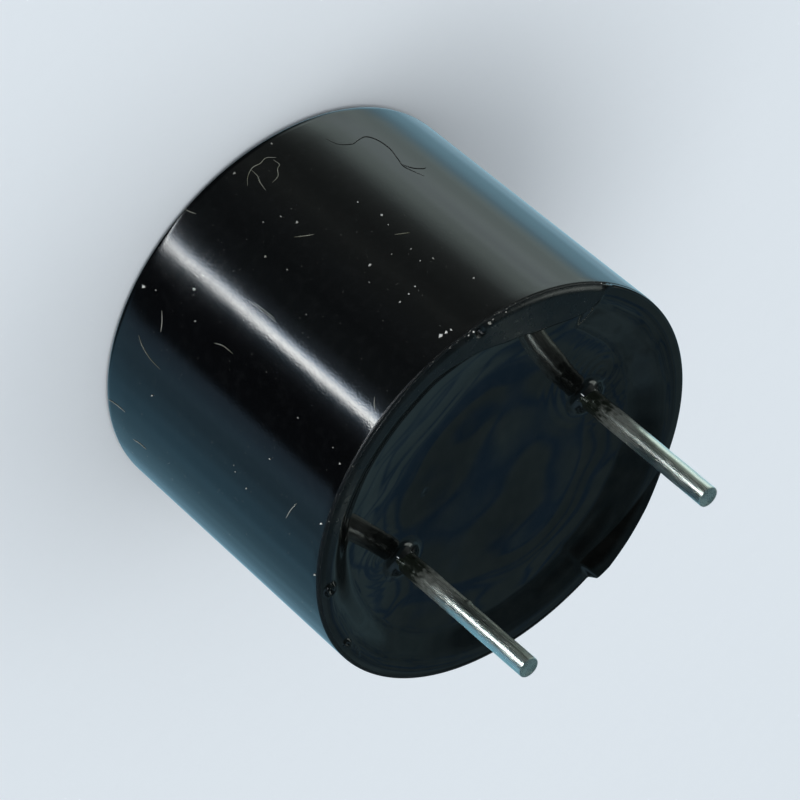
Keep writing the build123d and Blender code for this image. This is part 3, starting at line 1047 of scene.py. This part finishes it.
def direction_noise(tree, direction, scale, detail=2.0):
    """Noise over the directions of the room."""
    return add_node(tree, "ShaderNodeTexNoise", {
        "Vector": direction, "Scale": scale, "Detail": detail, "Distortion": 0.6,
    }).outputs["Fac"]


def angle_from(tree, azimuth, centre):
    """How far an azimuth is from a centre in degrees, in radians."""
    return maths(tree, "ABSOLUTE", maths(tree, "SUBTRACT", azimuth, radians(centre)))


def patch_share(tree, azimuth, up, patch):
    """1 inside a patch of the room, going softly to 0 outside it."""
    near = mapped(tree, angle_from(tree, azimuth, patch.azimuth), *[radians(a) for a in patch.reach])
    over = maths(tree, "MULTIPLY", rising(tree, up, patch.rise), rising(tree, up, patch.fade, 1, 0))
    return maths(tree, "MULTIPLY", near, over)


def vein_share(tree, direction):
    """Share of the veins in the room's colour, in a cone of directions."""
    patches = direction_noise(tree, direction, vein_scale, detail=0.0)
    off_middle = maths(tree, "ABSOLUTE", maths(tree, "SUBTRACT", patches, 0.5))
    veins = mapped(tree, off_middle, *vein_width, vein_strength, 0)
    turn, rise = [radians(a) for a in vein_centre]
    centre = cos(rise) * cos(turn), cos(rise) * sin(turn), sin(rise)
    facing = vector_maths(tree, "DOT_PRODUCT", direction, centre)["Value"]
    inside = mapped(tree, facing, *[cos(radians(a)) for a in vein_spread])
    return maths(tree, "MULTIPLY", inside, veins)


def reflected_room(tree):
    """Colour of what glossy surfaces see in each direction."""
    direction = add_node(tree, "ShaderNodeTexCoord").outputs["Generated"]
    axes = add_node(tree, "ShaderNodeSeparateXYZ", {"Vector": direction})
    up = axes.outputs["Z"]
    azimuth = maths(tree, "ARCTAN2", axes.outputs["Y"], axes.outputs["X"])
    turn = maths(tree, "MULTIPLY_ADD", azimuth, 1 / (2 * pi), 0.5)
    low = ring_colour(tree, turn, low_ring)
    high = ring_colour(tree, turn, high_ring)

    # Above the horizon
    high = mixed(tree, rising(tree, up, upper_starts), high, upper_room)
    glow = scaled(tree, back_glow.colour, patch_share(tree, azimuth, up, back_glow))
    high = vector_maths(tree, "ADD", high, glow)[0]
    high = mixed(tree, vein_share(tree, direction), high, vein_colour)
    horizon = maths(tree, "MAXIMUM", rising(tree, up, horizon_dims, 1, horizon_share),
                    rising(tree, up, horizon_clears, horizon_share, 1))

    # The whole room, its card and its strip light
    room = mixed(tree, rising(tree, up, low_ends), low, scaled(tree, high, horizon))
    room = mixed(tree, rising(tree, up, ceiling_starts), room, ceiling)
    room = mixed(tree, rising(tree, up, underside_ends), underside, room)
    room = mixed(tree, patch_share(tree, azimuth, up, side_card), room, side_card.colour)
    cloudy = mapped(tree, direction_noise(tree, direction, clouds_scale), 0.3, 0.7, *clouds)
    room = scaled(tree, room, cloudy)
    below = rising(tree, up, strips_end, 1, 0)
    for strip in strips:
        away = angle_from(tree, azimuth, strip.azimuth)
        width = radians(strip.half_width)
        lit = mapped(tree, away, width, width * strips_core, 0, strip.strength)
        light = scaled(tree, strip.colour, maths(tree, "MULTIPLY", lit, below))
        room = vector_maths(tree, "ADD", room, light)[0]
    return room


def background(tree, colour, strength):
    """Light of a colour from all round."""
    values = {"Color": colour, "Strength": strength}
    return add_node(tree, "ShaderNodeBackground", values).outputs[0]


def make_world():
    """Plain soft light for everything, and the room above for gloss alone."""
    world = bpy.data.worlds.new("studio")
    world.use_nodes = True
    tree = world.node_tree
    tree.nodes.clear()
    rays = add_node(tree, "ShaderNodeLightPath")
    plain = background(tree, (*window_colour, 1), soft_light)
    room = background(tree, reflected_room(tree), 1.0)
    pale = background(tree, (*floor_colour, 1), 1.0)
    lit = add_node(tree, "ShaderNodeMixShader", {
        0: rays.outputs["Is Glossy Ray"], 1: plain, 2: room,
    })
    seen = add_node(tree, "ShaderNodeMixShader", {
        0: rays.outputs["Is Camera Ray"], 1: lit.outputs[0], 2: pale,
    })
    output = add_node(tree, "ShaderNodeOutputWorld")
    tree.links.new(seen.outputs[0], output.inputs["Surface"])
    world.cycles.sampling_method = "NONE"
    bpy.context.scene.world = world


def make_floor():
    """Plain pale floor, left out of the gloss so that the room shows there."""
    size = floor_half_side
    mesh = bpy.data.meshes.new("floor")
    corners = [(-size, -size, 0), (size, -size, 0), (size, size, 0), (-size, size, 0)]
    mesh.from_pydata(corners, [], [(0, 1, 2, 3)])
    material, tree, shader = new_material("floor")
    darker = tuple(c * floor_patches for c in floor_colour)
    pale = mixed(tree, noise(tree, 0.6, detail=4), darker, floor_colour)
    set_inputs(tree, shader, {"Base Color": pale, "Roughness": 0.95, "Specular IOR Level": 0.1})
    mesh.materials.append(material)
    floor = bpy.data.objects.new("floor", mesh)
    bpy.context.scene.collection.objects.link(floor)
    floor.visible_glossy = False


def make_lamp(name, azimuth, elevation, distance, size, power):
    """Soft square lamp that points at the part; the gloss doesn't show it."""
    lamp = bpy.data.lights.new(name, "AREA")
    lamp.shape = "SQUARE"
    lamp.size = size
    lamp.energy = power
    holder = bpy.data.objects.new(name, lamp)
    flat, high = distance * cos(radians(elevation)), distance * sin(radians(elevation))
    place = at_angle(azimuth, flat, high)
    holder.location = place
    holder.rotation_euler = place.to_track_quat("Z", "Y").to_euler()
    holder.visible_glossy = False
    bpy.context.scene.collection.objects.link(holder)


# Camera, as in the photo
camera_azimuth = 104.57
camera_elevation = 34.68
camera_roll = 130.35
camera_distance = 209.3
camera_aim = (0.10, -0.67, 4.60)
camera_lens = 358.2
camera_sensor = 36
camera_clip = 0.01, 20


def make_camera():
    """The photo's view: the part's axis points to the lower right of the picture."""
    azimuth, elevation = radians(camera_azimuth), radians(camera_elevation)
    roll = radians(camera_roll)
    back = Vector((cos(elevation) * cos(azimuth), cos(elevation) * sin(azimuth), sin(elevation)))
    level = Vector((-sin(azimuth), cos(azimuth), 0))
    upright = back.cross(level)
    right = level * cos(roll) + upright * sin(roll)
    up = back.cross(right)
    data = bpy.data.cameras.new("camera")
    data.sensor_width = camera_sensor
    data.lens = camera_lens
    data.clip_start, data.clip_end = camera_clip
    camera = bpy.data.objects.new("camera", data)
    place = (Vector(camera_aim) + back * camera_distance) * MM
    turn = Matrix((right, up, back)).transposed().to_4x4()
    camera.matrix_world = Matrix.Translation(place) @ turn
    bpy.context.scene.collection.objects.link(camera)
    bpy.context.scene.camera = camera


# Everything in its place

materials = all_materials()
for subpart in frame["record"]["subparts"]:
    mesh = frame["nodes"][subpart["node"]].data
    mesh.materials.clear()
    mesh.materials.append(materials[subpart["material_slot"]])

make_cup(materials["cup_plastic"])
make_resin(materials["resin"])
for wire in wires:
    make_pin(wire.name, wire.node, materials["tinned_wire"], wire.lumps, wire.shift)
make_dust(materials)

make_world()
make_floor()
for lamp in lamps:
    make_lamp(*lamp)
make_camera()

bpy.context.scene.view_settings.view_transform = "Standard"
